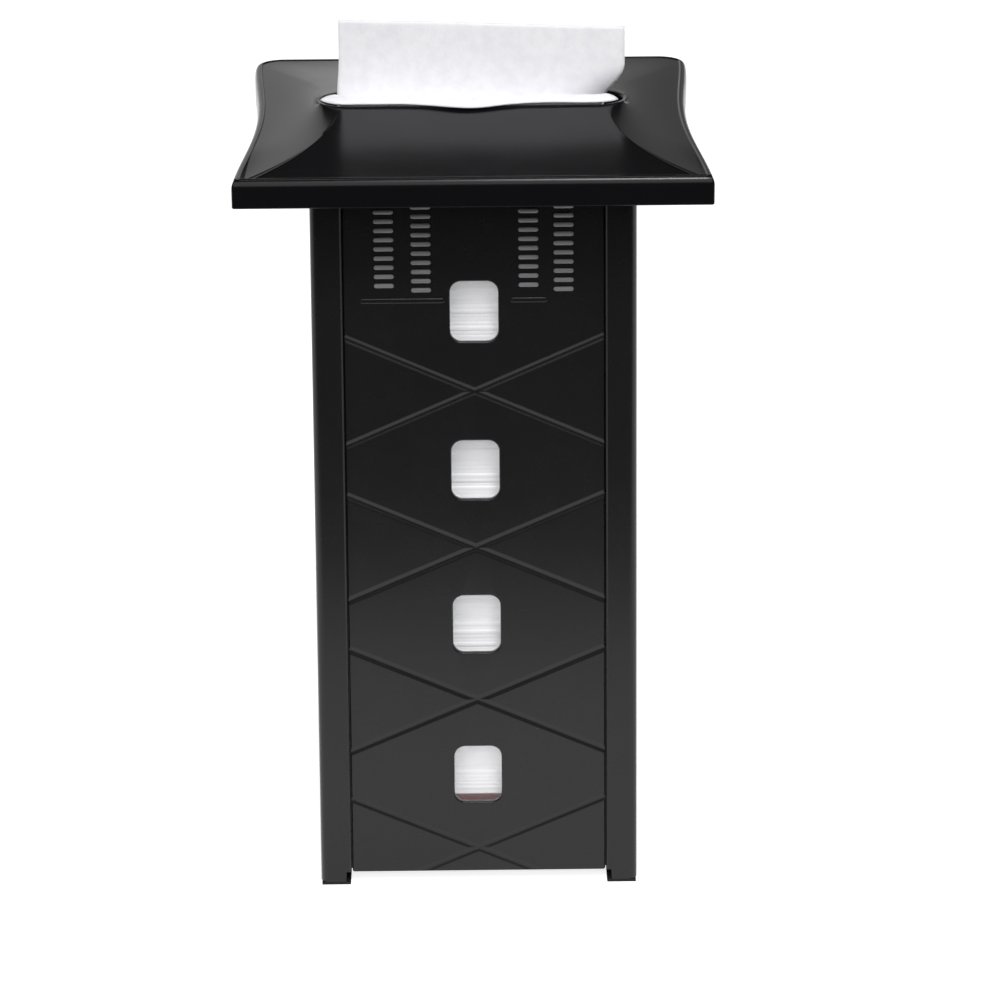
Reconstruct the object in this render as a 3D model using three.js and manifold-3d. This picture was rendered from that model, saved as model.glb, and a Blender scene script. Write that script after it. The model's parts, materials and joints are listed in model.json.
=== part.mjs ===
// Tower napkin dispenser for interfold napkins: a tall case on four feet, a spring-lifted platform that
// pushes the napkin stack up, and a wide hinged head whose slot hands out one napkin at a time.
// Millimetres, +Z up, the front faces -Y, and the origin is on the floor under the middle of the head.
import * as THREE from "three";
import { mergeVertices } from "three/addons/utils/BufferGeometryUtils.js";
import Module from "manifold-3d";

const wasm = await Module();
wasm.setup();

// ---- Driving dimensions ----
const NAPKIN_W = 165; // folded napkin, side to side
const NAPKIN_D = 124; // folded napkin, front to back
const GAP = 0.3; // between pieces that touch
const WALL = 3; // case walls
const CASE_W = 89; // half width of the case at its top
const CASE_D = 106.5; // half depth of the case
const CASE_TOP = 413;
const CASE_SPREAD = 0.0216; // how much wider the case is at the floor than at its top
const POST_INNER = 71.8; // inner edge of each corner post's face
const LEDGE_INNER = 64; // the ledge that a panel rests on reaches in to here
const PANEL_FACE = 104; // a panel's outer face, from the middle of the case
const PANEL_BACK = 101;
const PANEL_LOW = 7;
const PANEL_HIGH = 412.6;
const HEAD_W = 128.5; // half width of the head at its corners
const HEAD_D = 146; // half depth of the head
const HEAD_LOW = 413.5; // the head's flat underside
const SKIRT_LOW = 412.2; // the rim's skirt hangs a little below it
const RIM_HIGH = 428.2;
const ROOF_LOW = 425.4;
const ROOF_HIGH = 443.2;
const STACK_Y = -26; // middle of the stack and of the slot
const STACK_LOW = 48.1;
const STACK_HIGH = 417.6;
const PLATFORM_LOW = 44.8;
const WINDOW = { width: 26.4, height: 34.5, radius: 6.3, first: 342, pitch: 91.6, count: 4 };
const HINGE = { y: 113, z: 404, knuckle: 5, pin: 2.5, clearance: 0.12 };
const REEL = { x: 26, y: 61.8, z: 380, radius: 19, half: 7 };
const ROD = { x: 62, y: 60, radius: 4 };
const BASE_SCREW = { y: 70, z: 24, hole: 2.4, sink: 1.6, sinkRadius: 3.8, head: 1.1 };
const REAR_SCREW = { x: 67.9, heights: [46, 380], hole: 2.3 };
const TRAY = { half: 85.6, depth: 97.8, low: 8.4, high: 34, wall: 2.6 };
const LOCK_Y = -125;
const ROUND = 24; // sides of a round piece
const SMALL_ROUND = 16;
const PAST = 1; // how far a cutting solid reaches past the face that it cuts

// ---- Materials ----
const paint = (color, roughness, metalness = 0) =>
  new THREE.MeshStandardMaterial({ color, roughness, metalness });
const BLACK = paint(0x1c1c1e, 0.5);
const HEAD_BLACK = paint(0x222224, 0.35);
const CLEAR = paint(0xf2f4f8, 0.1);
const STEEL = paint(0x9a9ca0, 0.35, 1);
const SPRING = paint(0xb8bac0, 0.25, 1);
const CAST = paint(0x5a5c60, 0.6, 1);
const RUBBER = paint(0x141414, 0.9);
const RED = paint(0x8c1418, 0.5);
const NYLON = paint(0xe4e0d4, 0.6);
const PAPER = paint(0xf6f4fa, 0.95);

// ---- Solids and how they are joined and cut ----
function solid(geometry) {
  const bare = geometry.clone();
  bare.deleteAttribute("normal");
  bare.deleteAttribute("uv");
  const merged = mergeVertices(bare, 1e-4);
  return new wasm.Manifold(
    new wasm.Mesh({
      numProp: 3,
      vertProperties: new Float32Array(merged.attributes.position.array),
      triVerts: new Uint32Array(merged.index.array),
    }),
  );
}

function geometryOf(shape) {
  const mesh = shape.getMesh();
  const geometry = new THREE.BufferGeometry();
  geometry.setAttribute("position", new THREE.BufferAttribute(new Float32Array(mesh.vertProperties), 3));
  geometry.setIndex(new THREE.BufferAttribute(new Uint32Array(mesh.triVerts), 1));
  geometry.computeVertexNormals();
  return geometry;
}

const join = (first, ...rest) => rest.reduce((sum, next) => sum.add(next), first);
const cut = (first, ...rest) => rest.reduce((left, next) => left.subtract(next), first);

function box(x0, x1, y0, y1, z0, z1) {
  const geometry = new THREE.BoxGeometry(x1 - x0, y1 - y0, z1 - z0);
  return solid(geometry.translate((x0 + x1) / 2, (y0 + y1) / 2, (z0 + z1) / 2));
}

// A cylinder from one place to another along X, Y or Z.
function cylinder(axis, radius, from, to, at, sides = ROUND) {
  const geometry = new THREE.CylinderGeometry(radius, radius, to - from, sides);
  geometry.translate(0, (from + to) / 2, 0);
  if (axis === "x") geometry.rotateZ(-Math.PI / 2);
  if (axis === "z") geometry.rotateX(Math.PI / 2);
  return solid(geometry.translate(at.x ?? 0, at.y ?? 0, at.z ?? 0));
}

function extrude(shape, depth, curveSegments = 6) {
  return new THREE.ExtrudeGeometry(shape, { depth, bevelEnabled: false, curveSegments });
}

// A shape drawn in X and Y, raised from z0 to z1.
const alongZ = (shape, z0, z1) => solid(extrude(shape, z1 - z0).translate(0, 0, z0));

// A shape drawn in X and Z, run from y0 to y1.
function alongY(shape, y0, y1) {
  const upright = new THREE.Matrix4().makeBasis(
    new THREE.Vector3(1, 0, 0),
    new THREE.Vector3(0, 0, 1),
    new THREE.Vector3(0, -1, 0),
  );
  return solid(extrude(shape, y1 - y0).applyMatrix4(upright).translate(0, y1, 0));
}

function polygon(points) {
  return new THREE.Shape(points.map(([a, b]) => new THREE.Vector2(a, b)));
}

function roundedRectangle(width, height, radius, x = 0, y = 0) {
  const [a, b] = [width / 2 - radius, height / 2 - radius];
  const shape = new THREE.Shape();
  shape.absarc(x + a, y + b, radius, 0, Math.PI / 2);
  shape.absarc(x - a, y + b, radius, Math.PI / 2, Math.PI);
  shape.absarc(x - a, y - b, radius, Math.PI, Math.PI * 1.5);
  shape.absarc(x + a, y - b, radius, Math.PI * 1.5, Math.PI * 2);
  return shape;
}

// The case grows a little wider towards the floor, and what is fixed to its walls follows them.
const spread = (x, z) => x * (1 + CASE_SPREAD * (1 - z / CASE_TOP));

function spreadCase(shape) {
  const geometry = geometryOf(shape);
  const position = geometry.getAttribute("position");
  for (let i = 0; i < position.count; i++) {
    position.setX(i, spread(position.getX(i), position.getZ(i)));
  }
  return solid(geometry);
}

// ---- The group ----
const dispenser = new THREE.Group();

function add(name, shape, material) {
  const mesh = new THREE.Mesh(geometryOf(shape), material);
  mesh.name = name;
  dispenser.add(mesh);
}

const sides = [
  ["left", -1],
  ["right", 1],
];
const corners = [
  ["front_left", -1, -1],
  ["front_right", 1, -1],
  ["rear_left", -1, 1],
  ["rear_right", 1, 1],
];

// ---- Case ----
const FOOT_LENGTH = 24;
const FRAME_LOW = 2;
const FLOOR_GAP = 8; // the walls stop here between the feet
const LEDGE = { outer: 100.7, inner: 98.2 };
const POST_CORNER = { radius: 5, steps: 5, chamfer: 1 };

// The outer line of a corner post, from the panel's edge round to the side wall.
function postOutline() {
  const { radius, steps, chamfer } = POST_CORNER;
  const points = [
    [POST_INNER, LEDGE.outer],
    [POST_INNER, CASE_D - chamfer],
    [POST_INNER + chamfer, CASE_D],
  ];
  for (let i = 0; i <= steps; i++) {
    const angle = (Math.PI / 2) * (1 - i / steps);
    points.push([
      CASE_W - radius + radius * Math.cos(angle),
      CASE_D - radius + radius * Math.sin(angle),
    ]);
  }
  return points;
}

// A side wall with its two corner posts: one folded section, run the height of the case.
function sideFrame(side) {
  const lip = POST_INNER + WALL;
  const outside = postOutline();
  const inside = [
    [CASE_W - WALL, CASE_D - WALL],
    [lip, CASE_D - WALL],
    [lip, LEDGE.inner],
    [LEDGE_INNER, LEDGE.inner],
    [LEDGE_INNER, LEDGE.outer],
  ];
  const rear = (points) => points.map(([x, y]) => [side * x, y]);
  const front = (points) => points.map(([x, y]) => [side * x, -y]).reverse();
  const section = polygon([...rear(outside), ...front(outside), ...front(inside), ...rear(inside)]);
  const beyond = CASE_W * 1.2;
  const arch = box(-beyond, beyond, FOOT_LENGTH - CASE_D, CASE_D - FOOT_LENGTH, 0, FLOOR_GAP);
  const ledgeEnds = box(-lip, lip, -CASE_D, CASE_D, 0, FLOOR_GAP);
  const baseHoles = [-1, 1].flatMap((end) => {
    const at = { y: end * BASE_SCREW.y, z: BASE_SCREW.z };
    const [sunk, out] = [side * (CASE_W - BASE_SCREW.sink), side * beyond];
    return [
      cylinder("x", BASE_SCREW.hole, -beyond, beyond, at, SMALL_ROUND),
      cylinder("x", BASE_SCREW.sinkRadius, Math.min(sunk, out), Math.max(sunk, out), at, SMALL_ROUND),
    ];
  });
  const rearHoles = REAR_SCREW.heights.map((z) => {
    const at = { x: side * REAR_SCREW.x, z };
    return cylinder("y", REAR_SCREW.hole, LEDGE.inner - PAST, LEDGE.outer + PAST, at, SMALL_ROUND);
  });
  const wall = alongZ(section, FRAME_LOW, CASE_TOP);
  return spreadCase(cut(wall, arch, ledgeEnds, ...baseHoles, ...rearHoles));
}

// A screw whose head, `thick` high, sits at `seat` and whose shank runs the other way.
function screw(axis, at, seat, direction, length, thick = 2) {
  const [head, shank, slotHalf] = [3.4, 1.9, 0.5];
  const slotDepth = 0.45 * thick;
  const span = (a, b) => [Math.min(a, b), Math.max(a, b)];
  const headEnd = seat - direction * thick;
  const cap = cylinder(axis, head, ...span(headEnd, seat), at, SMALL_ROUND);
  const body = cylinder(axis, shank, ...span(seat - direction, seat + direction * length), at, SMALL_ROUND);
  const across = (middle) => [middle - head, middle + head];
  const narrow = (middle) => [middle - slotHalf, middle + slotHalf];
  const deep = span(headEnd - direction * PAST, headEnd + direction * slotDepth);
  const slot = {
    x: () => box(...deep, ...across(at.y), ...narrow(at.z)),
    y: () => box(...across(at.x), ...deep, ...narrow(at.z)),
    z: () => box(...across(at.x), ...narrow(at.y), ...deep),
  }[axis]();
  return cut(join(cap, body), slot);
}

// The windows' centres, from the top down.
const windowHeights = Array.from({ length: WINDOW.count }, (_, i) => WINDOW.first - i * WINDOW.pitch);

// A V groove across the panel's face, turned about the crossing's centre.
function groove(height, angle) {
  const [halfWidth, depth, length] = [2.6, 1.4, 170];
  const proud = 0.4; // the cutter starts this far in front of the face
  const wide = halfWidth * (1 + proud / depth);
  const shape = polygon([
    [-PANEL_FACE - proud, -wide],
    [-PANEL_FACE + depth, 0],
    [-PANEL_FACE - proud, wide],
  ]);
  const across = new THREE.Matrix4().makeBasis(
    new THREE.Vector3(0, 1, 0),
    new THREE.Vector3(0, 0, 1),
    new THREE.Vector3(1, 0, 0),
  );
  const geometry = extrude(shape, length).translate(0, 0, -length / 2).applyMatrix4(across);
  return solid(geometry.rotateY(angle).translate(0, 0, height));
}

const RIB = { half: 5.5, rise: 0.8, bar: 2.4, pitch: 5.2, middle: 378 };
const RIB_COLUMNS = [
  { x: -49, count: 9 },
  { x: -28.8, count: 10 },
  { x: 29.8, count: 9 },
  { x: 49, count: 10 },
];

// Small raised bars in two pairs of columns, where the fingers steady the case.
function gripRibs() {
  const [front, back] = [-PANEL_FACE - RIB.rise, -PANEL_FACE + PAST];
  return RIB_COLUMNS.flatMap(({ x, count }) =>
    Array.from({ length: count }, (_, i) => {
      const z = RIB.middle + (i - (count - 1) / 2) * RIB.pitch;
      return box(x - RIB.half, x + RIB.half, front, back, z - RIB.bar / 2, z + RIB.bar / 2);
    }),
  );
}

const PANEL_GAP = 0.6; // between a panel's long edges and the posts

function panelPlate(from, to) {
  const [width, height] = [2 * (POST_INNER - PANEL_GAP), PANEL_HIGH - PANEL_LOW];
  return alongY(roundedRectangle(width, height, 1, 0, (PANEL_HIGH + PANEL_LOW) / 2), from, to);
}

function frontPanel() {
  const holes = windowHeights.map((z) => {
    const opening = roundedRectangle(WINDOW.width, WINDOW.height, WINDOW.radius, 0, z);
    return alongY(opening, -PANEL_FACE - PAST, -PANEL_BACK + PAST);
  });
  const slope = Math.atan2(31.5, POST_INNER);
  const crossings = windowHeights.map((z) => z - WINDOW.pitch / 2);
  const grooves = crossings.flatMap((z) => [groove(z, slope), groove(z, -slope)]);
  return spreadCase(join(cut(panelPlate(-PANEL_FACE, -PANEL_BACK), ...holes, ...grooves), ...gripRibs()));
}

function rearPanel() {
  const holes = REAR_SCREW.heights.flatMap((z) =>
    [-1, 1].map((side) => {
      const at = { x: side * REAR_SCREW.x, z };
      return cylinder("y", REAR_SCREW.hole, PANEL_BACK - PAST, PANEL_FACE + PAST, at, SMALL_ROUND);
    }),
  );
  return spreadCase(cut(panelPlate(PANEL_BACK, PANEL_FACE), ...holes));
}

// A clear lens: a flange behind the panel and a raised middle that fills the opening.
function windowLens(z) {
  const [flangeWidth, flangeDepth, recess] = [4, 1.5, 0.8];
  const flange = alongY(
    roundedRectangle(WINDOW.width + 2 * flangeWidth, WINDOW.height + 2 * flangeWidth, WINDOW.radius, 0, z),
    -PANEL_BACK + GAP,
    -PANEL_BACK + GAP + flangeDepth,
  );
  const middle = alongY(
    roundedRectangle(WINDOW.width - 2 * GAP, WINDOW.height - 2 * GAP, WINDOW.radius - GAP, 0, z),
    -PANEL_FACE + recess,
    -PANEL_BACK + PAST,
  );
  return spreadCase(join(flange, middle));
}

const rodAt = (side) => ({ x: side * ROD.x, y: ROD.y });

function baseTray() {
  const { half, depth, low, high, wall } = TRAY;
  const shell = cut(
    box(-half, half, -depth, depth, low, high),
    box(wall - half, half - wall, wall - depth, depth - wall, low + wall, high + PAST),
  );
  const rodHoles = sides.map(([, side]) =>
    cylinder("z", ROD.radius + GAP, low - PAST, low + wall + PAST, rodAt(side)),
  );
  const screwHoles = [-1, 1].map((end) => {
    const at = { y: end * BASE_SCREW.y, z: BASE_SCREW.z };
    return cylinder("x", BASE_SCREW.hole, -half - PAST, half + PAST, at, SMALL_ROUND);
  });
  return cut(spreadCase(cut(shell, ...screwHoles)), ...rodHoles);
}

const PAD = { high: 1.7, inset: 0.6, inner: 0.4 };
const PLUG = { x: [75.4, 85.4], y: [88, 102.8], high: 7.5 };

// A rubber foot: a pad under the corner post and a plug that presses up into it.
function footPad(side, end) {
  const mirror = (sign, a, b) => (sign > 0 ? [a, b] : [-b, -a]);
  const padX = mirror(side, POST_INNER + PAD.inner, CASE_W - PAD.inset);
  const padY = mirror(end, CASE_D - FOOT_LENGTH + 1, CASE_D - PAD.inset);
  const pad = box(...padX, ...padY, 0, PAD.high);
  const plug = box(...mirror(side, ...PLUG.x), ...mirror(end, ...PLUG.y), PAD.high - PAST, PLUG.high);
  return spreadCase(join(pad, plug));
}

for (const [name, side] of sides) add(`${name}_side_frame`, sideFrame(side), BLACK);
add("front_panel", frontPanel(), BLACK);
add("rear_panel", rearPanel(), BLACK);
windowHeights.forEach((z, i) => add(`window_lens_${i + 1}`, windowLens(z), CLEAR));
add("base_tray", baseTray(), BLACK);
add("ballast_plate", box(-70, 70, -92, 36, TRAY.low + TRAY.wall + GAP, 19.3), CAST);
for (const [name, side, end] of corners) {
  const at = { x: 0, y: end * BASE_SCREW.y, z: BASE_SCREW.z };
  const seat = side * (spread(CASE_W - BASE_SCREW.sink, BASE_SCREW.z) + GAP);
  add(`foot_pad_${name}`, footPad(side, end), RUBBER);
  add(`base_screw_${name}`, screw("x", at, seat, -side, 8, BASE_SCREW.head), STEEL);
}
for (const [row, z] of REAR_SCREW.heights.entries()) {
  const level = row ? "upper" : "lower";
  for (const [name, side] of sides) {
    const at = { x: spread(side * REAR_SCREW.x, z), y: 0, z };
    add(`rear_screw_${level}_${name}`, screw("y", at, PANEL_FACE + GAP, -1, 8), STEEL);
  }
}

// ---- Top of the case ----
const CROSSBAR = { low: 400, high: 408, front: -97.6, back: -92.5 };
const DECK = { low: 402, high: 405, front: 46, back: 98, half: 85.2, flange: 2.5, drop: 16 };

function rearDeck() {
  const { half, front, back, low, high, flange, drop } = DECK;
  const plate = box(-half, half, front, back, low, high);
  const fold = box(-half, half, back - flange, back, low - drop, high);
  const rodHoles = sides.map(([, side]) =>
    cylinder("z", ROD.radius + GAP, low - PAST, high + PAST, rodAt(side)),
  );
  const screwRelief = sides.map(([, side]) => {
    const middle = side * REAR_SCREW.x;
    return box(middle - 4, middle + 4, back - flange - PAST, back + PAST, low - drop - 4, low - drop + 4);
  });
  return cut(join(plate, fold), ...rodHoles, ...screwRelief);
}

// The catch that the lock's cam turns under: a post on the crossbar with a lip to the front.
function lockStriker() {
  const foot = box(-8, 8, CROSSBAR.front, CROSSBAR.back - 0.5, CROSSBAR.high + GAP, 423);
  const lip = box(-8, 8, -112, CROSSBAR.back - 0.5, 420, 423);
  return join(foot, lip);
}

add("front_crossbar", box(-85.4, 85.4, CROSSBAR.front, CROSSBAR.back, CROSSBAR.low, CROSSBAR.high), STEEL);
add("lock_striker", lockStriker(), STEEL);
add("rear_deck", rearDeck(), STEEL);

// ---- Hinge ----
const CASE_KNUCKLES = [
  [-60, -40],
  [-10, 10],
  [40, 60],
];
const HEAD_KNUCKLES = [
  [-39.6, -10.4],
  [10.4, 39.6],
];
const LEAF = { half: 60, low: 372, high: 397, sheet: 2.5, back: 134 };
const PIN_HEAD = { start: 60.4, end: 62.4, proud: 1.5 };
const hingeAt = { y: HINGE.y, z: HINGE.z };
const pinBore = () => cylinder("x", HINGE.pin + HINGE.clearance, -LEAF.half - 10, LEAF.half + 10, hingeAt);
const knucklesAt = (spans) => spans.map(([a, b]) => cylinder("x", HINGE.knuckle, a, b, hingeAt));

function caseLeaf() {
  const front = PANEL_FACE + GAP;
  const plate = box(-LEAF.half, LEAF.half, front, front + LEAF.sheet, LEAF.low, LEAF.high);
  const arms = CASE_KNUCKLES.map(([a, b]) => box(a, b, front, HINGE.y - 1, LEAF.high - 2, HINGE.z - 1));
  return cut(join(plate, ...arms, ...knucklesAt(CASE_KNUCKLES)), pinBore());
}

function headLeaf() {
  const half = HEAD_KNUCKLES[1][1];
  const [front, top] = [HINGE.y + LEAF.sheet, HEAD_LOW - 0.2];
  const flange = box(-half, half, front, LEAF.back, top - 2.2, top);
  const webs = HEAD_KNUCKLES.map(([a, b]) => box(a, b, front, front + LEAF.sheet, HINGE.z, top));
  return cut(join(flange, ...webs, ...knucklesAt(HEAD_KNUCKLES)), pinBore());
}

function hingePin() {
  const shaft = cylinder("x", HINGE.pin, -LEAF.half, PIN_HEAD.end - 0.4, hingeAt);
  const head = cylinder("x", HINGE.pin + PIN_HEAD.proud, PIN_HEAD.start, PIN_HEAD.end, hingeAt);
  return join(shaft, head);
}

add("hinge_case_leaf", caseLeaf(), STEEL);
add("hinge_pin", hingePin(), STEEL);
add("hinge_head_leaf", headLeaf(), STEEL);

// ---- Lift: rods, carriage, platform, spring reels ----
const CARRIAGE = { low: 20, front: 38.5, back: 41.5, half: 75, block: [20, 44], blockHalf: 12 };
const BUSHING = { radius: 8, proud: 2, clearance: 0.12 };
const PLATFORM = { half: 81, front: -86, thick: 3, rib: 6, ribHalf: 1.5, ribs: [-40, 0, 40] };

function carriage() {
  const { low, front, back, half, block, blockHalf } = CARRIAGE;
  const plate = box(-half, half, front, back, low, PLATFORM_LOW - GAP);
  const blocks = sides.map(([, side]) => {
    const middle = side * ROD.x;
    return box(middle - blockHalf, middle + blockHalf, back - PAST, ROD.y + blockHalf, ...block);
  });
  const bores = sides.map(([, side]) =>
    cylinder("z", BUSHING.radius + GAP, block[0] - PAST, block[1] + PAST, rodAt(side)),
  );
  return cut(join(plate, ...blocks), ...bores);
}

function bushing(side) {
  const { radius, proud, clearance } = BUSHING;
  const [low, high] = [CARRIAGE.block[0] - proud, CARRIAGE.block[1] + proud];
  return cut(
    cylinder("z", radius, low, high, rodAt(side)),
    cylinder("z", ROD.radius + clearance, low - PAST, high + PAST, rodAt(side)),
  );
}

function platform() {
  const { half, front, thick, rib, ribHalf, ribs } = PLATFORM;
  const plate = box(-half, half, front, CARRIAGE.back, PLATFORM_LOW, PLATFORM_LOW + thick);
  const ribBack = CARRIAGE.front - GAP;
  const under = ribs.map((x) =>
    box(x - ribHalf, x + ribHalf, front, ribBack, PLATFORM_LOW - rib, PLATFORM_LOW + PAST),
  );
  return join(plate, ...under);
}

const reelAt = { y: REEL.y, z: REEL.z };
const AXLE = { radius: 3, half: 14, clearance: 0.15 };
const HUB = { radius: 8, proud: 2 };
const BRACKET = { half: 12.5, depth: 9, sheet: 2, web: 1.8, drop: 8 };
const TAPE = { half: 7, front: 42, back: 42.5, low: 24 };

function axleHole(middle) {
  const reach = AXLE.half + PAST;
  return cylinder("x", AXLE.radius + AXLE.clearance, middle - reach, middle + reach, reelAt);
}

function springReel(side) {
  const middle = side * REEL.x;
  const hubHalf = REEL.half + HUB.proud;
  const coil = cylinder("x", REEL.radius, middle - REEL.half, middle + REEL.half, reelAt, 32);
  const hub = cylinder("x", HUB.radius, middle - hubHalf, middle + hubHalf, reelAt);
  return cut(join(coil, hub), axleHole(middle));
}

function reelBracket(side) {
  const { half, depth, sheet, web, drop } = BRACKET;
  const middle = side * REEL.x;
  const [front, back, top] = [REEL.y - depth, REEL.y + depth, DECK.low - GAP];
  const cheeks = [middle - half, middle + half - sheet].map((x) =>
    box(x, x + sheet, front, back, REEL.z - drop, top),
  );
  const bridge = box(middle - half, middle + half, front, back, top - web, top);
  return cut(join(bridge, ...cheeks), axleHole(middle));
}

function springTape(side) {
  const { half, front, back, low } = TAPE;
  return box(side * REEL.x - half, side * REEL.x + half, front, back, low, REEL.z);
}

for (const [name, side] of sides) {
  const axle = cylinder("x", AXLE.radius, side * REEL.x - AXLE.half, side * REEL.x + AXLE.half, reelAt);
  add(`${name}_guide_rod`, cylinder("z", ROD.radius, TRAY.low, DECK.high - 0.5, rodAt(side)), STEEL);
  add(`${name}_bushing`, bushing(side), NYLON);
  add(`${name}_reel_bracket`, reelBracket(side), STEEL);
  add(`${name}_reel_axle`, axle, STEEL);
  add(`${name}_spring_reel`, springReel(side), SPRING);
  add(`${name}_spring_tape`, springTape(side), SPRING);
}
add("lift_carriage", carriage(), STEEL);
add("lift_platform", platform(), BLACK);
const FLAG = { half: 62, front: -88, low: PLATFORM_LOW - 6, high: PLATFORM_LOW + 2.7 };
add("level_flag", box(-FLAG.half, FLAG.half, FLAG.front, PLATFORM.front - GAP, FLAG.low, FLAG.high), RED);

// ---- Napkins ----
const NAPKINS_LOW = 421.4; // lower ends of the two napkins that stand in the slot

function topNapkin() {
  const sheet = polygon([
    [-76, NAPKINS_LOW],
    [82, NAPKINS_LOW],
    [82, 466],
    [80, 480.8],
    [-71, 486.5],
    [-74.5, 455],
  ]);
  return alongY(sheet, STACK_Y - 1, STACK_Y + 1);
}

function nextNapkin() {
  const [lap, tail] = [STACK_Y - 23, STACK_Y - 14.4];
  const fold = box(-78, 81.5, lap, tail, ROOF_HIGH + 0.8, ROOF_HIGH + 3.8);
  const hanging = box(-62, 62, tail - 1.4, tail, NAPKINS_LOW, ROOF_HIGH + 2);
  return join(fold, hanging);
}

const [STACK_HALF, STACK_REACH] = [NAPKIN_W / 2, NAPKIN_D / 2];
const [STACK_FRONT, STACK_BACK] = [STACK_Y - STACK_REACH, STACK_Y + STACK_REACH];
add("napkin_stack", box(-STACK_HALF, STACK_HALF, STACK_FRONT, STACK_BACK, STACK_LOW, STACK_HIGH), PAPER);
add("top_napkin", topNapkin(), PAPER);
add("next_napkin", nextNapkin(), PAPER);

// ---- Head ----
// The crest line around the slot: half its length, its round ends, and where the hips meet them.
const SLOT = { half: 86.5, round: 19, frontTurn: 0.35 };
const PINCH = 6.9; // how far each side edge bows in at its middle
const REAR_CORNER = 17;
const STEPS = { front: 14, side: 12, corner: 5 };

// The head's outline, anticlockwise from the front left corner.
function rimOutline() {
  const points = [];
  for (let i = 0; i < STEPS.front; i++) points.push([HEAD_W * (-1 + (2 * i) / STEPS.front), -HEAD_D]);
  const right = [];
  const sideEnd = HEAD_D - REAR_CORNER;
  for (let i = 0; i < STEPS.side; i++) {
    const y = -HEAD_D + ((sideEnd + HEAD_D) * i) / STEPS.side;
    right.push([HEAD_W - PINCH * Math.sin((Math.PI * i) / STEPS.side) ** 1.5, y]);
  }
  for (let i = 0; i < STEPS.corner; i++) {
    const angle = ((Math.PI / 2) * i) / STEPS.corner;
    right.push([
      HEAD_W - REAR_CORNER + REAR_CORNER * Math.cos(angle),
      sideEnd + REAR_CORNER * Math.sin(angle),
    ]);
  }
  points.push(...right);
  const rearHalf = HEAD_W - REAR_CORNER;
  for (let i = 0; i <= STEPS.front; i++) points.push([rearHalf * (1 - (2 * i) / STEPS.front), HEAD_D]);
  const left = right.slice(1).reverse();
  points.push(...left.map(([x, y]) => [-x, y]));
  return points;
}

// The crest outline has one point for each point of the rim, so that each pair makes one line of the roof.
function crestOutline(inset) {
  const half = SLOT.half - inset;
  const round = SLOT.round - inset;
  const reach = half - round;
  const { frontTurn } = SLOT; // in radians from the front
  const points = [];
  const edge = reach + round * Math.sin(frontTurn);
  const onSlot = (x, end) => {
    const past = Math.max(0, Math.abs(x) - reach);
    return [x, STACK_Y + end * Math.sqrt(round ** 2 - past ** 2)];
  };
  for (let i = 0; i < STEPS.front; i++) points.push(onSlot(edge * (-1 + (2 * i) / STEPS.front), -1));
  const right = [];
  const turns = STEPS.side + STEPS.corner;
  for (let i = 0; i < turns; i++) {
    const angle = -Math.PI / 2 + frontTurn + ((Math.PI - 2 * frontTurn) * i) / turns;
    right.push([reach + round * Math.cos(angle), STACK_Y + round * Math.sin(angle)]);
  }
  points.push(...right);
  for (let i = 0; i <= STEPS.front; i++) points.push(onSlot(edge * (1 - (2 * i) / STEPS.front), 1));
  const left = right.slice(1).reverse();
  points.push(...left.map(([x, y]) => [-x, y]));
  return points;
}

// An outline moved in by `distance`, with its sharp corners kept sharp.
function insetOutline(points, distance) {
  const n = points.length;
  const normal = ([ax, ay], [bx, by]) => {
    const length = Math.hypot(bx - ax, by - ay);
    return [-(by - ay) / length, (bx - ax) / length];
  };
  return points.map(([x, y], i) => {
    const before = normal(points[(i + n - 1) % n], [x, y]);
    const after = normal([x, y], points[(i + 1) % n]);
    const scale = distance / (1 + before[0] * after[0] + before[1] * after[1]);
    return [x + (before[0] + after[0]) * scale, y + (before[1] + after[1]) * scale];
  });
}

// A closed skin from rings of points, each joined to the next and the last to the first.
function ringSkin(rings) {
  const n = rings[0].length;
  const positions = rings.flat(2);
  const index = [];
  rings.forEach((_, r) => {
    const next = ((r + 1) % rings.length) * n;
    for (let i = 0; i < n; i++) {
      const [a, b] = [r * n + i, r * n + ((i + 1) % n)];
      const [c, d] = [next + i, next + ((i + 1) % n)];
      index.push(a, b, d, a, d, c);
    }
  });
  const geometry = new THREE.BufferGeometry();
  geometry.setAttribute("position", new THREE.Float32BufferAttribute(positions, 3));
  geometry.setIndex(index);
  return solid(geometry);
}

const ROOF_STEPS = 7;
const ROOF_CURVE = 1.1; // 1 is a straight roof, and more than 1 a hollow one
const DRAW_IN = 1.85; // how early a roof line narrows on its way up: 1 is straight seen from above
const SKIN = 2.6;
const BEAD = 4.6;
const MOUTH_INSET = 2.4;
const CHUTE_LOW = 424;
const BOSS = { x: 110, y: 126, radius: 4.5, pilot: 2.1, hole: 2.3 };
const bossAt = (side, end) => ({ x: side * BOSS.x, y: end * BOSS.y });

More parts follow.
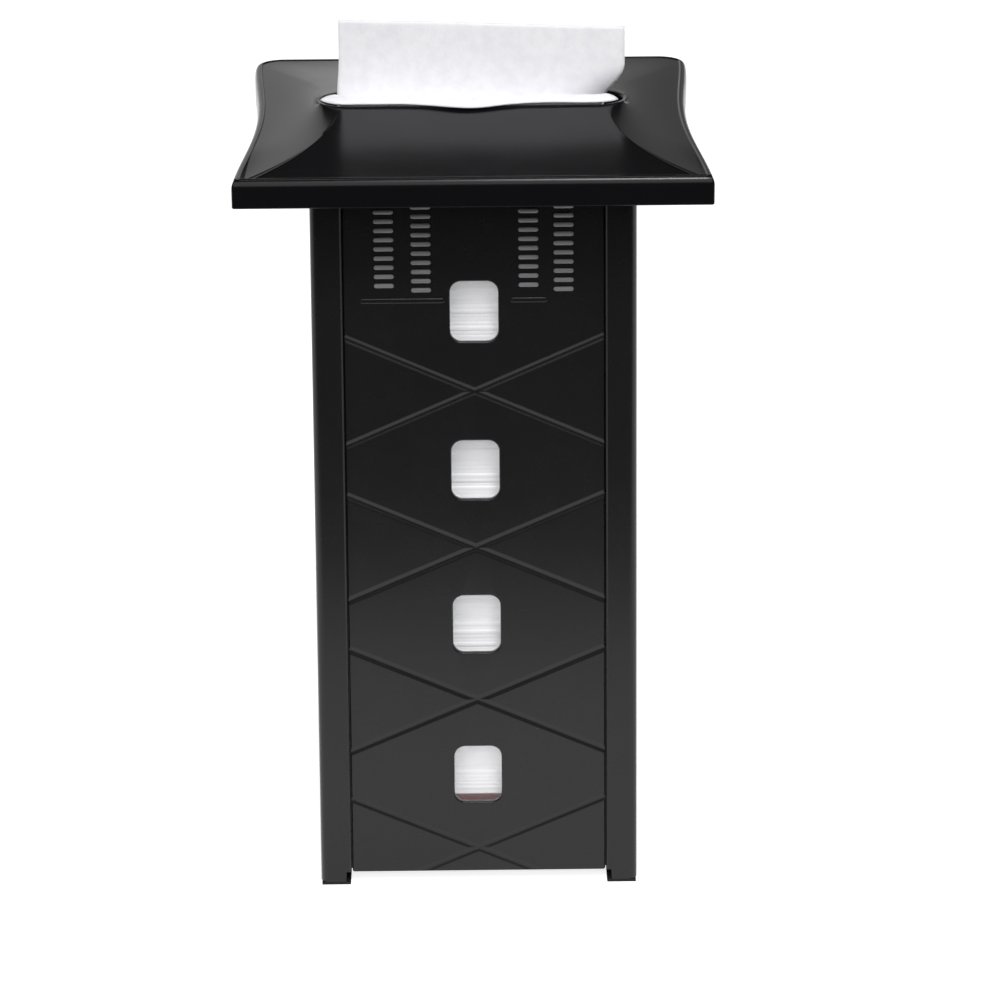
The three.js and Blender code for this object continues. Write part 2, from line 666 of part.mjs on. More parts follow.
function headCap() {
  const rim = rimOutline();
  const roofEdge = insetOutline(rim, BEAD);
  const crest = crestOutline(0);
  const mouth = crestOutline(MOUTH_INSET);
  const level = (outline, z) => outline.map(([x, y]) => [x, y, z]);
  const roofLevel = (t, drop) =>
    roofEdge.map(([x, y], i) => {
      const [crestX, crestY] = crest[i];
      const drawn = 1 - (1 - t) ** DRAW_IN;
      const z = ROOF_LOW + (ROOF_HIGH - ROOF_LOW) * t ** ROOF_CURVE;
      return [x + (crestX - x) * drawn, y + (crestY - y) * t, z - drop];
    });
  const roof = Array.from({ length: ROOF_STEPS }, (_, i) => i / (ROOF_STEPS - 1));
  const firstInside = 0.02;
  const rings = [
    level(rim, SKIRT_LOW),
    level(rim, RIM_HIGH - 2),
    level(insetOutline(rim, 0.9), RIM_HIGH - 0.4),
    level(insetOutline(rim, 2.2), RIM_HIGH),
    level(insetOutline(rim, 3.6), RIM_HIGH - 0.8),
    ...roof.map((t) => roofLevel(t, 0)),
    level(mouth, ROOF_HIGH - 1.2),
    level(mouth, CHUTE_LOW),
    level(crest, CHUTE_LOW),
    ...roof.toReversed().map((t) => roofLevel(Math.max(t, firstInside), SKIN)),
    level(insetOutline(rim, SKIN), ROOF_LOW - SKIN - 2),
    level(insetOutline(rim, SKIN), SKIRT_LOW),
  ];
  const [bossLow, bossHigh] = [HEAD_LOW + 2.6, ROOF_LOW + 0.4];
  const bosses = corners.map(([, side, end]) =>
    cylinder("z", BOSS.radius, bossLow, bossHigh, bossAt(side, end), SMALL_ROUND),
  );
  const pilots = corners.map(([, side, end]) =>
    cylinder("z", BOSS.pilot, HEAD_LOW, ROOF_LOW - 3, bossAt(side, end), SMALL_ROUND),
  );
  return cut(join(ringSkin(rings), ...bosses), ...pilots);
}

const LINER = { low: HEAD_LOW + GAP, high: HEAD_LOW + 2.3 };

// The flat plate that closes the head from below, open for the stack, the striker, the lock and the screws.
function headLiner() {
  const plate = alongZ(polygon(insetOutline(rimOutline(), SKIN + 0.4)), LINER.low, LINER.high);
  const [under, over] = [LINER.low - PAST, LINER.high + PAST];
  const stackHole = box(-84.5, 84.5, STACK_FRONT - 1.2, STACK_BACK + 2.2, under, over);
  const strikerHole = box(-12, 12, -116, CROSSBAR.back + 0.6, under, over);
  const lockHole = cylinder("z", 6.4, under, over, { y: LOCK_Y });
  const screwHoles = corners.map(([, side, end]) =>
    cylinder("z", BOSS.hole, under, over, bossAt(side, end), SMALL_ROUND),
  );
  return cut(plate, stackHole, strikerHole, lockHole, ...screwHoles);
}

// A shallow upturned tray on the liner: the stack presses up against it, and its slot lets napkins out.
function throatPlate() {
  const [half, front, back] = [88, STACK_FRONT - 3.4, STACK_BACK + 4.4];
  const [low, under, high] = [LINER.high + GAP, STACK_HIGH + 0.6, STACK_HIGH + 3];
  const wall = 1.8;
  const slot = roundedRectangle(2 * 84.3, 36, 12, 0, STACK_Y);
  return cut(
    box(-half, half, front, back, low, high),
    box(wall - half, half - wall, front + wall, back - wall, low - PAST, under),
    alongZ(slot, under - PAST, high + PAST),
  );
}

const LOCK = { flange: 8.5, barrel: 6, plug: 3.5, low: HEAD_LOW - 2.3, high: HEAD_LOW + 6.1 };
const CAM = { hub: 6, tip: 4.5, reach: 19.5, low: HEAD_LOW + 3.6, high: HEAD_LOW + 5.8 };
const lockAt = { y: LOCK_Y };

function lockBarrel() {
  const flange = cylinder("z", LOCK.flange, HEAD_LOW - 1.7, HEAD_LOW, lockAt);
  const barrel = cylinder("z", LOCK.barrel, HEAD_LOW - PAST, HEAD_LOW + 3.1, lockAt);
  const bore = cylinder("z", LOCK.plug + 0.25, LOCK.low, CAM.high, lockAt);
  return cut(join(flange, barrel), bore);
}

function lockPlug() {
  const [half, narrow, deep] = [2.2, 0.6, 3.8];
  const plug = cylinder("z", LOCK.plug, LOCK.low, LOCK.high, lockAt);
  const keyway = box(-half, half, LOCK_Y - narrow, LOCK_Y + narrow, LOCK.low - PAST, LOCK.low + deep);
  return cut(plug, keyway);
}

function lockCam() {
  const lever = new THREE.Shape();
  lever.absarc(0, LOCK_Y, CAM.hub, Math.PI / 2, Math.PI * 1.5);
  lever.lineTo(CAM.reach, LOCK_Y - CAM.tip);
  lever.absarc(CAM.reach, LOCK_Y, CAM.tip, -Math.PI / 2, Math.PI / 2);
  const bore = cylinder("z", LOCK.plug + 0.1, CAM.low - PAST, CAM.high + PAST, lockAt);
  return cut(alongZ(lever, CAM.low, CAM.high), bore);
}

add("head_cap", headCap(), HEAD_BLACK);
add("head_liner", headLiner(), BLACK);
add("throat_plate", throatPlate(), BLACK);
add("lock_barrel", lockBarrel(), STEEL);
add("lock_plug", lockPlug(), STEEL);
add("lock_cam", lockCam(), STEEL);
for (const [name, side, end] of corners) {
  add(`head_screw_${name}`, screw("z", bossAt(side, end), HEAD_LOW, 1, 8), STEEL);
}

export default dispenser;
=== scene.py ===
import json
import math
import random

import bpy
from mathutils import Matrix, Vector, noise
from mathutils.geometry import delaunay_2d_cdt


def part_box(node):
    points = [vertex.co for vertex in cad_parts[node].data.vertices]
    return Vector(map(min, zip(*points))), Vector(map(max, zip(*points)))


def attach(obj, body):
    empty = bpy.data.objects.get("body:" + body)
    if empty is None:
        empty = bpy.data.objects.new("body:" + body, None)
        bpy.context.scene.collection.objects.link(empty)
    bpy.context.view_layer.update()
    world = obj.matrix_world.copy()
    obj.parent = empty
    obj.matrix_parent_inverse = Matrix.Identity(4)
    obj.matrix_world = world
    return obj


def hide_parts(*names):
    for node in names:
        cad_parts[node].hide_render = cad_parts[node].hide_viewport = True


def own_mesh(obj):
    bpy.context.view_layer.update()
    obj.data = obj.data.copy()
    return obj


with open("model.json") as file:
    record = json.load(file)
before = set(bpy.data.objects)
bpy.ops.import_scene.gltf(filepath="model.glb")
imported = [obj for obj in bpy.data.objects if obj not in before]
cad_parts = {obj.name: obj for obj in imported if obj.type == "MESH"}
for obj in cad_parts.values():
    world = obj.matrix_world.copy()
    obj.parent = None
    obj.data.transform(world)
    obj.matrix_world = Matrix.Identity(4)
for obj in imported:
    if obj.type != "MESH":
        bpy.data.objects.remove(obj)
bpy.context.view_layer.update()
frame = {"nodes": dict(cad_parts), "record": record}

MM = 0.001
NODES = frame["nodes"]
SLOT_OF = {row["node"]: row["material_slot"] for row in frame["record"]["subparts"]}


def node_box(node):
    """A CAD node's lowest and highest corners, in millimetres."""
    low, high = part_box(node)
    return low / MM, high / MM


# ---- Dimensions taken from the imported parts, in millimetres ----
HEAD_LO, HEAD_HI = node_box("head_cap")
PANEL_LO, PANEL_HI = node_box("front_panel")
STACK_LO, STACK_HI = node_box("napkin_stack")
TOP_LO, TOP_HI = node_box("top_napkin")
CASE_TOP = node_box("left_side_frame")[1].z
STACK_Y = (STACK_LO.y + STACK_HI.y) / 2
CASE_SPREAD = 0.0216  # how much wider the case is at the floor than at its top


# ---- Node materials ----
GRAIN_DEPTH = 0.0002  # metres
EMBOSS_DEPTH = 0.0003
SHADE_TINT = (0, -0.01, 0.025)  # added to the darker grey of the paper
LIGHT_TINT = (0, -0.005, 0.02)  # added to its lighter grey


def node_tree(name):
    """A new material, with its tree and its Principled shader."""
    material = bpy.data.materials.new(name)
    material.use_nodes = True
    tree = material.node_tree
    return material, tree, tree.nodes["Principled BSDF"]


def noise_node(tree, scale, detail=3.0, fineness=(1, 1, 1)):
    """A noise texture in object space: `scale` features to the metre, times `fineness` along each axis."""
    place = tree.nodes.new("ShaderNodeTexCoord")
    mapping = tree.nodes.new("ShaderNodeMapping")
    mapping.inputs["Scale"].default_value = fineness
    texture = tree.nodes.new("ShaderNodeTexNoise")
    texture.inputs["Scale"].default_value = scale
    texture.inputs["Detail"].default_value = detail
    tree.links.new(place.outputs["Object"], mapping.inputs["Vector"])
    tree.links.new(mapping.outputs["Vector"], texture.inputs["Vector"])
    return texture.outputs["Fac"]


def ramp_node(tree, source, low, high, start=0.35, end=0.65):
    """Turns a 0 to 1 value into a colour between two colours."""
    ramp = tree.nodes.new("ShaderNodeValToRGB")
    ramp.color_ramp.elements[0].position = start
    ramp.color_ramp.elements[1].position = end
    ramp.color_ramp.elements[0].color = (*low, 1)
    ramp.color_ramp.elements[1].color = (*high, 1)
    tree.links.new(source, ramp.inputs["Fac"])
    return ramp.outputs["Color"]


def range_node(tree, source, low, high):
    """Turns a 0 to 1 value into one between low and high."""
    scaled = tree.nodes.new("ShaderNodeMapRange")
    scaled.inputs["To Min"].default_value = low
    scaled.inputs["To Max"].default_value = high
    tree.links.new(source, scaled.inputs["Value"])
    return scaled.outputs["Result"]


def add_bump(tree, shader, height, strength, distance=GRAIN_DEPTH):
    """Gives a shader's surface a fine relief, `distance` metres deep at full strength."""
    bump = tree.nodes.new("ShaderNodeBump")
    bump.inputs["Strength"].default_value = strength
    bump.inputs["Distance"].default_value = distance
    tree.links.new(height, bump.inputs["Height"])
    tree.links.new(bump.outputs["Normal"], shader.inputs["Normal"])


def moulded_plastic(name, colour, roughness, grain=0.06, spread=0.06, specular=0.3):
    """Moulded plastic: a fine grain, and colour and gloss that change a little from place to place."""
    patch_scale, gloss_scale, grain_scale = 22, 60, 2200
    gloss_spread = 0.025
    material, tree, shader = node_tree(name)
    lighter = [c * (1 + spread) for c in colour]
    darker = [c * (1 - spread) for c in colour]
    patches = ramp_node(tree, noise_node(tree, patch_scale, 4), darker, lighter)
    tree.links.new(patches, shader.inputs["Base Color"])
    gloss = noise_node(tree, gloss_scale)
    rough = range_node(tree, gloss, roughness - gloss_spread, roughness + gloss_spread)
    tree.links.new(rough, shader.inputs["Roughness"])
    shader.inputs["Specular IOR Level"].default_value = specular
    add_bump(tree, shader, noise_node(tree, grain_scale, 2), grain)
    return material


def metal(name, colour, roughness, fineness=(1, 1, 1), grain=0.1, scale=420):
    """Bright or brushed metal: `fineness` is how much finer its grain is along each axis."""
    shade = 0.8
    smoother, rougher = 0.08, 0.1
    material, tree, shader = node_tree(name)
    shader.inputs["Metallic"].default_value = 1
    brushed = noise_node(tree, scale, 4, fineness)
    darker = [c * shade for c in colour]
    tree.links.new(ramp_node(tree, brushed, darker, colour), shader.inputs["Base Color"])
    rough = range_node(tree, brushed, roughness - smoother, roughness + rougher)
    tree.links.new(rough, shader.inputs["Roughness"])
    add_bump(tree, shader, brushed, grain)
    return material


def tissue(name, shade=0.85, light=0.9, glow=0.0):
    """Soft white paper: an emboss of small round dimples over a fibrous surface."""
    cloud_scale, dimple_scale, fibre_scale = 160, 520, 1800
    dimple_share = 0.6
    emboss = 0.35
    material, tree, shader = node_tree(name)
    darker = [shade + tint for tint in SHADE_TINT]
    lighter = [light + tint for tint in LIGHT_TINT]
    clouds = ramp_node(tree, noise_node(tree, cloud_scale, 4), darker, lighter)
    tree.links.new(clouds, shader.inputs["Base Color"])
    shader.inputs["Roughness"].default_value = 0.95
    shader.inputs["Specular IOR Level"].default_value = 0.15
    shader.inputs["Sheen Weight"].default_value = 0.15
    # Emission: a painted glow, `glow` of white light added to the paper though it is no lamp.
    shader.inputs["Emission Color"].default_value = (1, 1, 1, 1)
    shader.inputs["Emission Strength"].default_value = glow
    place = tree.nodes.new("ShaderNodeTexCoord")
    dimples = tree.nodes.new("ShaderNodeTexVoronoi")
    dimples.inputs["Scale"].default_value = dimple_scale
    tree.links.new(place.outputs["Object"], dimples.inputs["Vector"])
    fibres = noise_node(tree, fibre_scale, 4, (1, 1, 0.5))
    both = tree.nodes.new("ShaderNodeMath")
    both.operation = "MULTIPLY_ADD"
    both.inputs[1].default_value = dimple_share
    tree.links.new(dimples.outputs["Distance"], both.inputs[0])
    tree.links.new(fibres, both.inputs[2])
    add_bump(tree, shader, both.outputs["Value"], emboss, EMBOSS_DEPTH)
    return material


def clear_plastic(name):
    """Polished clear plastic, thin enough that what is behind it shows unbent."""
    haze_scale, wave_scale = 90, 120
    waviness = 0.05
    material, tree, shader = node_tree(name)
    shader.inputs["Base Color"].default_value = (0.9, 0.92, 0.94, 1)
    shader.inputs["Alpha"].default_value = 0.05
    haze = range_node(tree, noise_node(tree, haze_scale), 0.04, 0.1)
    tree.links.new(haze, shader.inputs["Roughness"])
    add_bump(tree, shader, noise_node(tree, wave_scale, 2), waviness)
    return material


CASE_BLACK = (0.0075, 0.0075, 0.0082)
HEAD_BLACK = (0.0045, 0.0045, 0.0052)
INNER_BLACK = (0.014, 0.014, 0.014)
RUBBER_BLACK = (0.012, 0.012, 0.012)
PLATFORM_RED = (0.13, 0.006, 0.008)
NYLON_CREAM = (0.7, 0.66, 0.56)
BAR_GREY = (0.17, 0.17, 0.175)
IRON_GREY = (0.16, 0.16, 0.17)

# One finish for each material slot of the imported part.
MATERIALS = {
    "case_plastic": moulded_plastic("case_black", CASE_BLACK, 0.27, grain=0.04),
    "head_plastic": moulded_plastic("head_black", HEAD_BLACK, 0.18, grain=0.02, specular=0.16),
    "inner_plastic": moulded_plastic("inner_black", INNER_BLACK, 0.55),
    "lens_plastic": clear_plastic("lens_clear"),
    "foot_rubber": moulded_plastic("foot_rubber", RUBBER_BLACK, 0.85, grain=0.4),
    "screw_steel": metal("screw_steel", (0.6, 0.6, 0.62), 0.35),
    "napkin_paper": tissue("napkin_tissue"),
    "spring_steel": metal("spring_steel", (0.6, 0.61, 0.63), 0.25, fineness=(12, 1, 0.1)),
    "flag_red": moulded_plastic("flag_red", PLATFORM_RED, 0.45, grain=0.15),
    "bushing_nylon": moulded_plastic("bushing_nylon", NYLON_CREAM, 0.55, grain=0.1, spread=0.04),
    "ballast_iron": metal("ballast_iron", IRON_GREY, 0.6, grain=0.5, scale=300),
    "lock_chrome": metal("lock_chrome", (0.75, 0.75, 0.77), 0.16, grain=0.03),
    "rod_steel": metal("rod_steel", (0.58, 0.59, 0.6), 0.22, fineness=(1, 1, 14)),
    "bracket_steel": metal("bracket_steel", (0.5, 0.51, 0.53), 0.4, fineness=(1, 9, 1)),
}
# Two finishes that only a part of a slot's pieces has.
# The pile's paper is painted light: greys lighter than the napkins' and a white glow, to lift the shade it
# lies in behind the windows.
PILE_TISSUE_PAINTED_LIGHT = tissue("pile_tissue_painted_light", shade=0.955, light=0.97, glow=0.19)
RIB_GREY = moulded_plastic("rib_grey", BAR_GREY, 0.4, grain=0.05, spread=0.15)


# ---- Meshes ----
def mesh_piece(name, points, faces, slot, body, sharp=30, spread=False):
    """A smooth-shaded mesh from millimetre points, with edges sharper than `sharp` degrees kept crisp."""
    if spread:
        points = [(x * (1 + CASE_SPREAD * (1 - z / CASE_TOP)), y, z) for x, y, z in points]
    mesh = bpy.data.meshes.new(name)
    mesh.from_pydata([Vector(p) * MM for p in points], [], faces)
    mesh.update()
    mesh.shade_smooth()
    mesh.set_sharp_from_angle(angle=math.radians(sharp))
    mesh.materials.append(MATERIALS[slot])
    piece = bpy.data.objects.new(name, mesh)
    bpy.context.scene.collection.objects.link(piece)
    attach(piece, body)
    return piece


def ring_faces(rings, around, closed_around=True, closed_along=False):
    """Quads between rings of `around` points each."""
    faces = []
    for ring in range(rings if closed_along else rings - 1):
        here = ring * around
        after = (ring + 1) % rings * around
        for i in range(around if closed_around else around - 1):
            j = (i + 1) % around
            faces.append((here + i, here + j, after + j, after + i))
    return faces


def spaced(start, end, steps):
    """steps + 1 values from start to end."""
    return [start + (end - start) * i / steps for i in range(steps + 1)]


def smooth_step(value):
    """A value from 0 to 1, eased at both ends."""
    value = min(1.0, max(0.0, value))
    return value * value * (3 - 2 * value)


def arc(centre, radius, start, end, steps):
    """Points on an arc, with angles in degrees."""
    angles = [math.radians(a) for a in spaced(start, end, steps)]
    return [(centre[0] + radius * math.cos(a), centre[1] + radius * math.sin(a)) for a in angles]


def rounded_outline(half_width, half_height, radius, centre=(0, 0), steps=6):
    """A rounded rectangle, anticlockwise."""
    points = []
    for turn, (sx, sy) in enumerate(((1, 1), (-1, 1), (-1, -1), (1, -1))):
        corner = (centre[0] + sx * (half_width - radius), centre[1] + sy * (half_height - radius))
        points += arc(corner, radius, 90 * turn, 90 * turn + 90, steps)
    return points


def inset_outline(points, distance):
    """An outline moved in by `distance`."""

    def normal(a, b):
        length = math.hypot(b[0] - a[0], b[1] - a[1])
        return (a[1] - b[1]) / length, (b[0] - a[0]) / length

    moved = []
    for i, (x, y) in enumerate(points):
        before = normal(points[i - 1], (x, y))
        after = normal((x, y), points[(i + 1) % len(points)])
        scale = distance / (1 + before[0] * after[0] + before[1] * after[1])
        moved.append((x + (before[0] + after[0]) * scale, y + (before[1] + after[1]) * scale))
    return moved


# ---- Head ----
SLOT_HALF = 86.5  # half length of the crest line round the slot
SLOT_ROUND = 19  # radius of its round ends
MOUTH_INSET = 2.4  # from the crest line in to the chute
LIP_ROUND = 1.2
REACH = SLOT_HALF - SLOT_ROUND
PINCH = 6.9  # how far each side edge of the head bows in
PINCH_SHAPE = 1.5  # more than 1 keeps the bow away from the corners
REAR_CORNER = 17
ROOF_CURVE = 1.1  # 1 is a straight roof, and more than 1 a hollow one
DRAW_IN = 1.85  # how early a roof line narrows on its way up: 1 is straight seen from above
HIP_ROUND = 1.4
FRONT_TURN = 0.35  # where each hip meets the round end of the slot, in radians from the front
HIP_WIDTH = 0.05  # of a hip there, in radians
BEAD = 4.6  # how far in the roof starts from the rim
BEAD_ROUND = {"across": 3.4, "up": 5.5}  # half axes of the rim's rounded edge
VALLEY_FILL = 2.3  # how much shallower the groove behind the bead is at the sides than at the front
FILL_LENGTH = 70  # how far back from the front the fill takes to grow
FILL_FADE = 6  # how fast it ends on its way up the roof
SKIN = 2.6  # wall thickness
SKIN_START = 0.02  # share of the way up the roof where its underside starts
SKIN_DROP = 2  # from there down to the top of the skirt's inside
LOW_ROUND = 0.5
RIM_HIGH = 428.2
ROOF_LOW = 425.4
CHUTE_LOW = 424
STEPS = {"front": 30, "hip": 4, "side": 44, "corner": 12, "rear": 24, "roof": 22}


def mirrored(half):
    """A whole outline, anticlockwise, from its right half listed from front to back."""
    return half + [(-x, y) for x, y in reversed(half[1:-1])]


def rim_outline():
    """The edge of the head, seen from above."""
    width, depth = HEAD_HI.x, HEAD_HI.y
    front = [(x, -depth) for x in spaced(0, width - HIP_ROUND, STEPS["front"])]
    corner = arc((width - HIP_ROUND, HIP_ROUND - depth), HIP_ROUND, -90, 0, STEPS["hip"])[1:-1]
    side = []
    along = spaced(HIP_ROUND - depth, depth - REAR_CORNER, STEPS["side"])
    for share, y in zip(spaced(0, 1, STEPS["side"]), along):
        side.append((width - PINCH * math.sin(math.pi * share) ** PINCH_SHAPE, y))
    rear_corner = arc((width - REAR_CORNER, depth - REAR_CORNER), REAR_CORNER, 0, 90, STEPS["corner"])
    rear = [(x, depth) for x in spaced(width - REAR_CORNER, 0, STEPS["rear"])[1:]]
    return mirrored(front + corner + side[:-1] + rear_corner + rear)


def crest_outline(inset):
    """The line round the slot, with one point for each point of the rim."""
    radius = SLOT_ROUND - inset

    def on_front(x, end):
        past = max(0.0, x - REACH)
        return x, STACK_Y + end * math.sqrt(radius**2 - past**2)

    first = FRONT_TURN - HIP_WIDTH
    front = [on_front(x, -1) for x in spaced(0, REACH + radius * math.sin(first), STEPS["front"])]
    hip = [math.pi / 2 - a for a in spaced(first, FRONT_TURN, STEPS["hip"])][1:-1]
    turns = spaced(math.pi / 2 - FRONT_TURN, FRONT_TURN - math.pi / 2, STEPS["side"] + STEPS["corner"])
    turn = [(REACH + radius * math.cos(a), STACK_Y - radius * math.sin(a)) for a in hip + turns]
    rear_end = REACH + radius * math.sin(FRONT_TURN)
    rear = [on_front(x, 1) for x in spaced(rear_end, 0, STEPS["rear"])[1:]]
    return mirrored(front + turn + rear)


def head_shell():
    """The wide cap: a beaded rim, a gently hollow roof, and the slot's lip and chute."""
    rim = rim_outline()
    roof_edge = inset_outline(rim, BEAD)
    crest = crest_outline(0)
    top, low = HEAD_HI.z, HEAD_LO.z

    def level(outline, z):
        return [(x, y, z) for x, y in outline]

    def roof(share, drop):
        drawn = 1 - (1 - share) ** DRAW_IN
        height = ROOF_LOW + (top - ROOF_LOW) * share**ROOF_CURVE - drop
        ring = []
        for (x, y), (crest_x, crest_y) in zip(roof_edge, crest):
            grown = smooth_step((y + HEAD_HI.y - BEAD) / FILL_LENGTH)
            fill = VALLEY_FILL * grown * (1 - share) ** FILL_FADE
            z = height if drop else height + fill
            ring.append((x + (crest_x - x) * drawn, y + (crest_y - y) * share, z))
        return ring

    rings = [level(inset_outline(rim, LOW_ROUND), low), level(rim, low + LOW_ROUND)]
    for across, up in arc((1, 0), 1, 180, 72, 10):
        bead_line = inset_outline(rim, BEAD_ROUND["across"] * across)
        rings.append(level(bead_line, RIM_HIGH + BEAD_ROUND["up"] * (up - 1)))
    rings += [roof(share, 0) for share in spaced(0, 1, STEPS["roof"])]
    for inset, z in arc((MOUTH_INSET - LIP_ROUND, top - LIP_ROUND), LIP_ROUND, 80, 0, 4):
        rings.append(level(crest_outline(inset), z))
    rings.append(level(crest_outline(MOUTH_INSET), CHUTE_LOW))
    rings.append(level(crest, CHUTE_LOW))
    rings += [roof(share, SKIN) for share in spaced(1, SKIN_START, STEPS["roof"])]
    rings.append(level(inset_outline(rim, SKIN), ROOF_LOW - SKIN - SKIN_DROP))
    rings.append(level(inset_outline(rim, SKIN), low))
    points = [point for ring in rings for point in ring]
    faces = ring_faces(len(rings), len(rim), closed_along=True)
    piece = mesh_piece("head_shell", points, faces, "head_plastic", "head", sharp=38)
    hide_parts("head_cap")
    return piece


# ---- Front panel ----
POST_INNER = 71.8
PANEL_GAP = 0.6
PANEL_HALF = POST_INNER - PANEL_GAP
PANEL_MIDDLE = (PANEL_LO.z + PANEL_HI.z) / 2
PANEL_HALF_HIGH = (PANEL_HI.z - PANEL_LO.z) / 2
PANEL_CORNER = 1.2
PANEL_FACE = 104
PANEL_BACK = 101
WINDOW = {"half_width": 13.2, "half_height": 17.25, "radius": 6.3}
WINDOW_HEIGHTS = [sum(v.z for v in node_box(f"window_lens_{i}")) / 2 for i in (1, 2, 3, 4)]
WINDOW_PITCH = WINDOW_HEIGHTS[0] - WINDOW_HEIGHTS[1]
GROOVE_RISE = 31.5  # from the middle of the panel to a post
GROOVE_SLOPE = math.atan2(GROOVE_RISE, POST_INNER)
GROOVE = {"half": 2.7, "depth": 0.55}
EDGE_ROUND = 0.9  # of the panel's edge and its windows' edges
CLOSE = 1e-4  # points as near as this are one point


def rounded_distance(x, z, half_width, half_height, radius, middle):
    """How far a point is outside a rounded rectangle, or minus how far inside it."""
    across = abs(x) - (half_width - radius)
    up = abs(z - middle) - (half_height - radius)
    outside = math.hypot(max(across, 0), max(up, 0))
    return outside + min(max(across, up), 0) - radius


def outside_panel(x, z):
    """How far a point is outside the panel, or minus how far inside it."""
    return rounded_distance(x, z, PANEL_HALF, PANEL_HALF_HIGH, PANEL_CORNER, PANEL_MIDDLE)


def panel_depth(x, z):
    """How far the panel's face lies behind its flat plane, at a point of the face."""
    depth = 0.0
    for height in WINDOW_HEIGHTS:
        crossing = height - WINDOW_PITCH / 2
        for slope in (GROOVE_SLOPE, -GROOVE_SLOPE):
            away = abs((z - crossing) * math.cos(slope) - x * math.sin(slope))
            if away < GROOVE["half"]:
                depth = max(depth, GROOVE["depth"] * (1 + math.cos(math.pi * away / GROOVE["half"])) / 2)
    edges = [-outside_panel(x, z)]
    for height in WINDOW_HEIGHTS:
        edges.append(rounded_distance(x, z, *WINDOW.values(), height))
    nearest = max(0.0, min(edges))
    if nearest < EDGE_ROUND:
        depth = max(depth, EDGE_ROUND - math.sqrt(EDGE_ROUND**2 - (EDGE_ROUND - nearest) ** 2))
    return depth


def panel_outlines():
    """Every line that the face's triangles follow: its edge, the windows' edges and the grooves' strips."""
    closed, open_lines = [], []
    for step in (0, 0.1, 0.35, EDGE_ROUND):
        shrunk = (PANEL_HALF - step, PANEL_HALF_HIGH - step, PANEL_CORNER - step)
        closed.append(rounded_outline(*shrunk, (0, PANEL_MIDDLE), 4))
        for height in WINDOW_HEIGHTS:
            grown = (WINDOW["half_width"] + step, WINDOW["half_height"] + step, WINDOW["radius"] + step)
            closed.append(rounded_outline(*grown, (0, height), 10))
    reach = PANEL_HALF + 5  # a little past the panel's edges
    for height in WINDOW_HEIGHTS:
        crossing = height - WINDOW_PITCH / 2
        for slope in (GROOVE_SLOPE, -GROOVE_SLOPE):
            for share in spaced(-1, 1, 10):
                rise = share * GROOVE["half"] / math.cos(slope)
                ends = [(x, crossing + rise + x * math.tan(slope)) for x in (-reach, reach)]
                open_lines.append(ends)
    return closed, open_lines


def on_panel(x, z):
    """Whether a point is on the panel, and not in one of its windows."""
    if outside_panel(x, z) > -CLOSE:
        return False
    return all(rounded_distance(x, z, *WINDOW.values(), height) > -CLOSE for height in WINDOW_HEIGHTS)


def front_face_panel():
    """The decorated front: rounded edges, four window openings and crossed grooves."""
    closed, open_lines = panel_outlines()
    flat, edges = [], []
    for line in closed:
        start = len(flat)
        flat += [Vector(p) for p in line]
        edges += [(start + i, start + (i + 1) % len(line)) for i in range(len(line))]
    for ends in open_lines:
        edges.append((len(flat), len(flat) + 1))
        flat += [Vector(p) for p in ends]
    found, _, triangles, *_ = delaunay_2d_cdt(flat, edges, [], 0, CLOSE)
    kept = []
    for triangle in triangles:
        middle = sum((found[i] for i in triangle), Vector((0, 0))) / 3
        if on_panel(middle.x, middle.y):
            kept.append(tuple(triangle))
    used = sorted({i for triangle in kept for i in triangle})
    place = {old: new for new, old in enumerate(used)}
    count = len(used)
    points = [(found[i].x, -PANEL_FACE + panel_depth(found[i].x, found[i].y), found[i].y) for i in used]
    points += [(found[i].x, -PANEL_BACK, found[i].y) for i in used]
    faces, rims = [], {}
    for triangle in kept:
        a, b, c = (place[i] for i in triangle)
        faces.append((a, b, c))
        faces.append((c + count, b + count, a + count))
        for start, end in ((a, b), (b, c), (c, a)):
            if (end, start) in rims:
                del rims[(end, start)]
            else:
                rims[(start, end)] = True
    faces += [(end, start, start + count, end + count) for start, end in rims]
    piece = mesh_piece("front_face_panel", points, faces, "case_plastic", "case", sharp=40, spread=True)
    piece.modifiers.new("even_normals", "WEIGHTED_NORMAL").keep_sharp = True
    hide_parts("front_panel")
    return piece


RIB_COLUMNS = ((-49, 9), (-28.8, 10), (29.8, 9), (49, 10))  # each column's middle and number of bars
RIB = {"half": 5.5, "bar": 1.25, "pitch": 5.2, "middle": 378, "rise": 0.9}


def rounded_bar(half_width, half_height, rise, centre):
    """A low bar with rounded ends and a domed face: points, and faces that start at 0."""
    profile = [(0, -0.6), (0, 0.25), (0.12, 0.55), (0.38, 0.82), (0.75, 1)]  # inset, and share of the rise
    sliver = 0.01  # keeps the two arcs of each end apart
    points = []
    for inset, height in profile:
        half = half_height - inset
        outline = rounded_outline(half_width - inset, half, half - sliver, centre, 4)
        points += [(x, -PANEL_FACE - rise * height, z) for x, z in outline]
    around = len(outline)
    faces = ring_faces(len(profile), around)
    last = (len(profile) - 1) * around
    faces.append(tuple(last + i for i in range(around)))
    faces.append(tuple(reversed(range(around))))
    return points, faces


def merged(parts):
    """Several lists of points and faces as one."""
    points, faces = [], []
    for more_points, more_faces in parts:
        start = len(points)
        points += more_points
        faces += [tuple(i + start for i in face) for face in more_faces]
    return points, faces


def grip_ribs():
    """Four columns of small bars for the fingers."""
    parts = []
    for x, count in RIB_COLUMNS:
        for i in range(count):
            z = RIB["middle"] + (i - (count - 1) / 2) * RIB["pitch"]
            parts.append(rounded_bar(RIB["half"], RIB["bar"], RIB["rise"], (x, z)))
    piece = mesh_piece("grip_ribs", *merged(parts), "case_plastic", "case", sharp=50, spread=True)
    piece.data.materials[0] = RIB_GREY
    return piece


LEDGES = ((-39, 23), (30, 10))  # each ledge's middle and half length
LEDGE = {"height": 348.5, "half": 1.4, "rise": 0.35}


